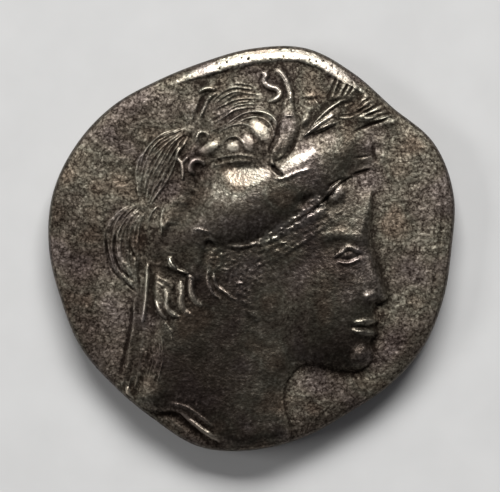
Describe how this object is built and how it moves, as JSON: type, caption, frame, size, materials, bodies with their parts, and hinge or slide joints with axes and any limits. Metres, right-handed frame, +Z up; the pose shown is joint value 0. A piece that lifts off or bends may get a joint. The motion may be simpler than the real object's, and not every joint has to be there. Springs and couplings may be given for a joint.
{
  "type": "silver stater",
  "caption": "Ancient hammered silver coin, lying flat: helmeted head in high relief on the obverse, plain bull on the worn reverse, uneven rounded edge.",
  "frame": {"origin": "middle of the coin's outline, on the surface that it lies on", "axes": "+Z up through the obverse, +Y towards the top of the obverse type, +X the way the head faces"},
  "size_m": [0.0216, 0.0216, 0.0032],
  "materials": {
    "toned_silver": "struck silver, darkly toned and granular in the fields, worn bright on the high points"
  },
  "bodies": {
    "root": {"stater": "toned_silver"}
  },
  "joints": []
}
